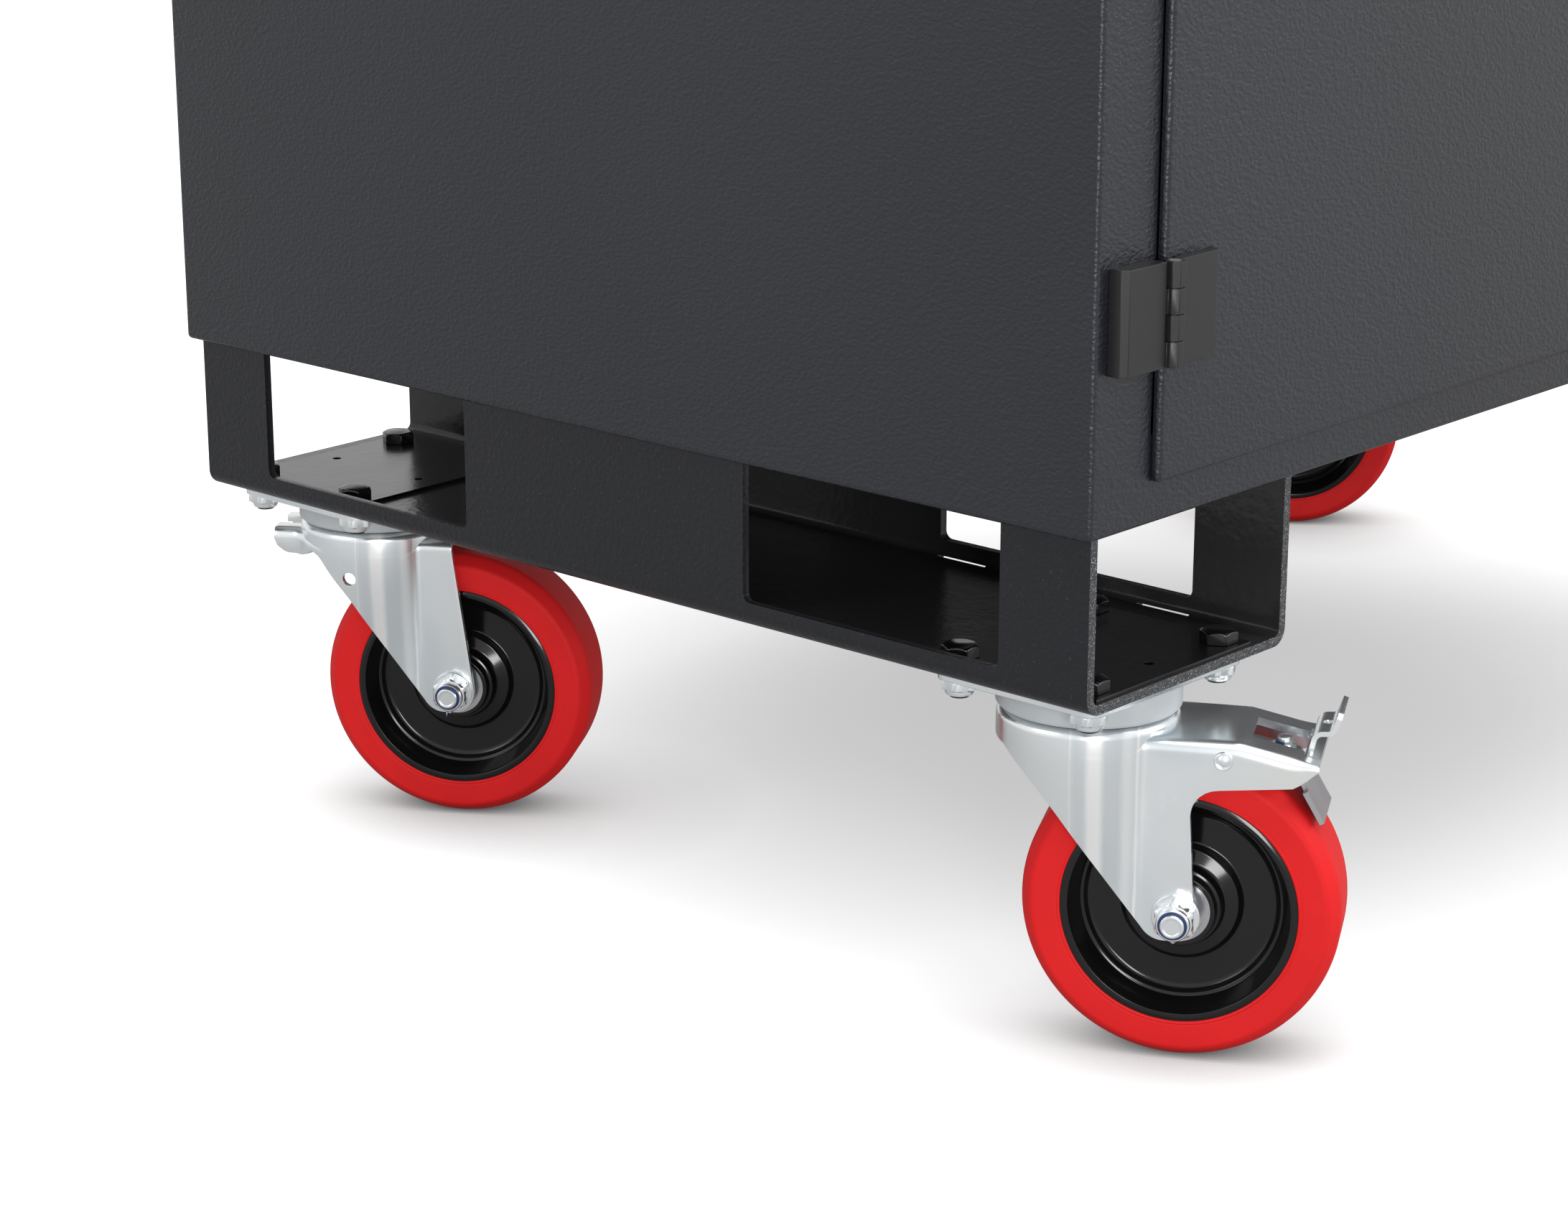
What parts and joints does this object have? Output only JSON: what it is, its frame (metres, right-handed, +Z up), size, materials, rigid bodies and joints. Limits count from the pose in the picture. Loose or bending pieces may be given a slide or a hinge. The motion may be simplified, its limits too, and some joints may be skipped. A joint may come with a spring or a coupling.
{
  "type": "site storage box",
  "caption": "Steel site storage box with side-hung front doors, a shelf, folded skids with fork pockets and swivel castors, the front ones with a pedal brake.",
  "frame": {"origin": "on the ground below the middle of the cabinet, where the four wheels stand", "axes": "+X along the front to the right door, +Y from the front to the back, +Z up"},
  "size_m": [1.0387, 0.7228, 1.2],
  "materials": {
    "box_paint": "dark grey powder coat with a fine hammered grain, satin",
    "black_paint": "gloss black paint",
    "hinge_black": "satin black",
    "zinc": "bright zinc plate, satin",
    "grey_cup": "light grey, matt",
    "red_tyre": "red polyurethane, satin",
    "black_centre": "moulded black, glossy",
    "bearing_steel": "ground steel rings with dark seals",
    "shoe_steel": "satin grey steel"
  },
  "bodies": {
    "cabinet": {"roof_panel": "box_paint", "floor_panel": "box_paint", "left_side_panel": "box_paint", "right_side_panel": "box_paint", "back_panel": "box_paint", "front_frame": "box_paint", "left_skid": "box_paint", "right_skid": "box_paint", "packing_plates": "black_paint", "castor_bolts": "black_paint", "castor_nuts": "zinc", "shelf": "box_paint", "shelf_rails": "box_paint", "frame_hinge_leaves": "hinge_black", "hinge_pins": "zinc", "swivel_cups": "grey_cup", "kingpins": "zinc", "front_left_top_plate": "zinc", "front_right_top_plate": "zinc", "rear_left_top_plate": "zinc", "rear_right_top_plate": "zinc"},
    "left_door": {"left_door_skin": "box_paint", "left_door_stiffeners": "box_paint", "left_door_hinge_leaves": "hinge_black", "left_bolt_guides": "zinc"},
    "left_upper_bolt": {"left_upper_bolt": "zinc"},
    "left_lower_bolt": {"left_lower_bolt": "zinc"},
    "right_door": {"right_door_skin": "box_paint", "right_door_stiffeners": "box_paint", "right_door_hinge_leaves": "hinge_black", "lock_escutcheon": "zinc", "rod_guides": "zinc"},
    "lock_handle": {"lock_handle": "hinge_black", "lock_cam": "zinc"},
    "upper_lock_rod": {"upper_lock_rod": "zinc"},
    "lower_lock_rod": {"lower_lock_rod": "zinc"},
    "front_left_swivel": {"front_left_fork": "zinc", "front_left_axle_fixings": "zinc"},
    "front_left_wheel": {"front_left_tyre": "red_tyre", "front_left_wheel_centre": "black_centre", "front_left_bearings": "bearing_steel"},
    "front_left_brake_pedal": {"front_left_brake_pedal": "zinc"},
    "front_left_brake_blade": {"front_left_brake_blade": "shoe_steel"},
    "front_right_swivel": {"front_right_fork": "zinc", "front_right_axle_fixings": "zinc"},
    "front_right_wheel": {"front_right_tyre": "red_tyre", "front_right_wheel_centre": "black_centre", "front_right_bearings": "bearing_steel"},
    "front_right_brake_pedal": {"front_right_brake_pedal": "zinc"},
    "front_right_brake_blade": {"front_right_brake_blade": "shoe_steel"},
    "rear_left_swivel": {"rear_left_fork": "zinc", "rear_left_axle_fixings": "zinc"},
    "rear_left_wheel": {"rear_left_tyre": "red_tyre", "rear_left_wheel_centre": "black_centre", "rear_left_bearings": "bearing_steel"},
    "rear_right_swivel": {"rear_right_fork": "zinc", "rear_right_axle_fixings": "zinc"},
    "rear_right_wheel": {"rear_right_tyre": "red_tyre", "rear_right_wheel_centre": "black_centre", "rear_right_bearings": "bearing_steel"}
  },
  "joints": [
    {"name": "left_door_hinge", "type": "hinge", "parent": "cabinet", "child": "left_door", "pos_m": [-0.466, -0.3385, 0.7425], "axis": [0, 0, -1], "range_deg": [0, 165]},
    {"name": "right_door_hinge", "type": "hinge", "parent": "cabinet", "child": "right_door", "pos_m": [0.466, -0.3385, 0.7425], "axis": [0, 0, 1], "range_deg": [0, 165]},
    {"name": "lock_handle_turn", "type": "hinge", "parent": "right_door", "child": "lock_handle", "pos_m": [0.0535, -0.3335, 0.7425], "axis": [0, 1, 0], "range_deg": [0, 90]},
    {"name": "upper_lock_rod_slide", "type": "slide", "parent": "right_door", "child": "upper_lock_rod", "axis": [0, 0, 1], "range_m": [0, 0.018]},
    {"name": "lower_lock_rod_slide", "type": "slide", "parent": "right_door", "child": "lower_lock_rod", "axis": [0, 0, -1], "range_m": [0, 0.018]},
    {"name": "left_upper_bolt_slide", "type": "slide", "parent": "left_door", "child": "left_upper_bolt", "axis": [0, 0, 1], "range_m": [0, 0.018]},
    {"name": "left_lower_bolt_slide", "type": "slide", "parent": "left_door", "child": "left_lower_bolt", "axis": [0, 0, -1], "range_m": [0, 0.018]},
    {"name": "front_left_swivel_turn", "type": "hinge", "parent": "cabinet", "child": "front_left_swivel", "pos_m": [-0.434, -0.2715, 0.1715], "axis": [0, 0, 1], "continuous": true},
    {"name": "front_left_wheel_roll", "type": "hinge", "parent": "front_left_swivel", "child": "front_left_wheel", "pos_m": [-0.40976, -0.31614, 0.08], "axis": [0.8788, 0.4772, 0], "continuous": true},
    {"name": "front_left_brake_pedal_press", "type": "hinge", "parent": "front_left_swivel", "child": "front_left_brake_pedal", "pos_m": [-0.38104, -0.36905, 0.157], "axis": [0.8788, 0.4772, 0], "range_deg": [0, 25]},
    {"name": "front_left_brake_blade_turn", "type": "hinge", "parent": "front_left_swivel", "child": "front_left_brake_blade", "pos_m": [-0.39993, -0.33425, 0.1627], "axis": [0.8788, 0.4772, 0], "range_deg": [0, 2.6]},
    {"name": "front_right_swivel_turn", "type": "hinge", "parent": "cabinet", "child": "front_right_swivel", "pos_m": [0.434, -0.2715, 0.1715], "axis": [0, 0, 1], "continuous": true},
    {"name": "front_right_wheel_roll", "type": "hinge", "parent": "front_right_swivel", "child": "front_right_wheel", "pos_m": [0.4594, -0.31549, 0.08], "axis": [0.866, 0.5, 0], "continuous": true},
    {"name": "front_right_brake_pedal_press", "type": "hinge", "parent": "front_right_swivel", "child": "front_right_brake_pedal", "pos_m": [0.4895, -0.36763, 0.157], "axis": [0.866, 0.5, 0], "range_deg": [0, 25]},
    {"name": "front_right_brake_blade_turn", "type": "hinge", "parent": "front_right_swivel", "child": "front_right_brake_blade", "pos_m": [0.4697, -0.33333, 0.1627], "axis": [0.866, 0.5, 0], "range_deg": [0, 2.6]},
    {"name": "rear_left_swivel_turn", "type": "hinge", "parent": "cabinet", "child": "rear_left_swivel", "pos_m": [-0.434, 0.255, 0.1715], "axis": [0, 0, 1], "continuous": true},
    {"name": "rear_left_wheel_roll", "type": "hinge", "parent": "rear_left_swivel", "child": "rear_left_wheel", "pos_m": [-0.40648, 0.2123, 0.08], "axis": [0.8406, 0.5417, 0], "continuous": true},
    {"name": "rear_right_swivel_turn", "type": "hinge", "parent": "cabinet", "child": "rear_right_swivel", "pos_m": [0.434, 0.255, 0.1715], "axis": [0, 0, 1], "continuous": true},
    {"name": "rear_right_wheel_roll", "type": "hinge", "parent": "rear_right_swivel", "child": "rear_right_wheel", "pos_m": [0.46343, 0.21359, 0.08], "axis": [0.8151, 0.5793, 0], "continuous": true}
  ],
  "couplings": [
    {"joint": "upper_lock_rod_slide", "follows": "lock_handle_turn", "m_per_rad": 0.01145},
    {"joint": "lower_lock_rod_slide", "follows": "lock_handle_turn", "m_per_rad": 0.01145},
    {"joint": "front_left_brake_blade_turn", "follows": "front_left_brake_pedal_press", "ratio": 0.1},
    {"joint": "front_right_brake_blade_turn", "follows": "front_right_brake_pedal_press", "ratio": 0.1}
  ]
}
